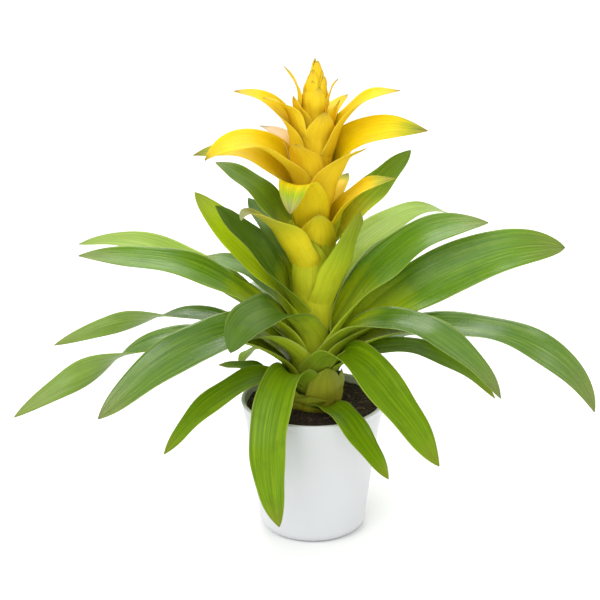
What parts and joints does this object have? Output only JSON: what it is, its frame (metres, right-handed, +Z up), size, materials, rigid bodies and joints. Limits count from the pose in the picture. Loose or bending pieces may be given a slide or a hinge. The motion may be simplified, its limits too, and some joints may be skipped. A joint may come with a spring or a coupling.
{
  "type": "potted bromeliad",
  "caption": "Potted bromeliad: arching green strap leaves and a tall spike of yellow bracts growing from dark soil in a plain flared white pot that stands on its flat base.",
  "frame": {"origin": "centre of the pot's flat base, on the surface it stands on", "axes": "+Z up along the pot's axis and the plant's stem, -Y the front that the picture shows, +X to the right as seen from the front"},
  "size_m": [0.554, 0.306, 0.472],
  "materials": {
    "pot": "smooth near-white glaze",
    "soil": "dark loose peat",
    "stem": "satin yellow-green plant tissue",
    "leaf": "satin green leaf with fine lengthwise veins",
    "spike_leaf": "satin green leaf, yellow towards its foot",
    "green_bract": "satin yellow-green bract with a green tip",
    "bract": "satin golden-yellow bract",
    "bud": "satin golden-yellow closed bracts"
  },
  "bodies": {
    "root": {"pot": "pot", "soil": "soil", "stem": "stem", "bud": "bud", "leaf_low_front": "leaf", "leaf_low_front_right": "leaf", "leaf_low_left": "leaf", "leaf_low_left_short": "leaf", "leaf_low_right": "leaf", "leaf_low_back": "leaf", "leaf_low_back_left": "leaf", "leaf_low_back_right": "leaf", "leaf_mid_front_right": "leaf", "leaf_mid_back_left": "leaf", "leaf_mid_left": "leaf", "leaf_mid_left_long": "leaf", "leaf_mid_left_curled": "leaf", "leaf_mid_front_left": "leaf", "leaf_mid_right_long": "leaf", "leaf_mid_right": "leaf", "leaf_mid_back_right": "leaf", "leaf_mid_back_a": "leaf", "leaf_mid_back_b": "leaf", "leaf_high_right_wide": "leaf", "leaf_high_right": "leaf", "leaf_high_right_behind": "leaf", "leaf_high_back_right": "leaf", "leaf_high_left": "leaf", "leaf_high_left_behind": "leaf", "leaf_high_left_short": "leaf", "leaf_high_left_upright": "leaf", "leaf_high_back_left": "leaf", "leaf_high_left_folded": "leaf", "leaf_high_back": "leaf", "spike_leaf_left": "spike_leaf", "spike_leaf_right": "spike_leaf", "bract_low_front_right": "green_bract", "bract_low_back": "green_bract", "bract_low_left": "green_bract", "bract_low_back_right": "bract", "bract_mid_right": "bract", "bract_mid_back": "bract", "bract_mid_front": "bract", "bract_mid_back_left": "bract", "bract_mid_left_lower": "bract", "bract_mid_front_right": "bract", "bract_mid_back_right": "bract", "bract_mid_left_long": "bract", "bract_high_right_wide": "bract", "bract_high_back_left": "bract", "bract_high_back": "bract", "bract_high_left": "bract", "bract_high_right": "bract", "bract_high_front_left": "bract", "bract_high_back_right": "bract", "bract_tip_left": "bract", "bract_tip_right": "bract"}
  },
  "joints": []
}
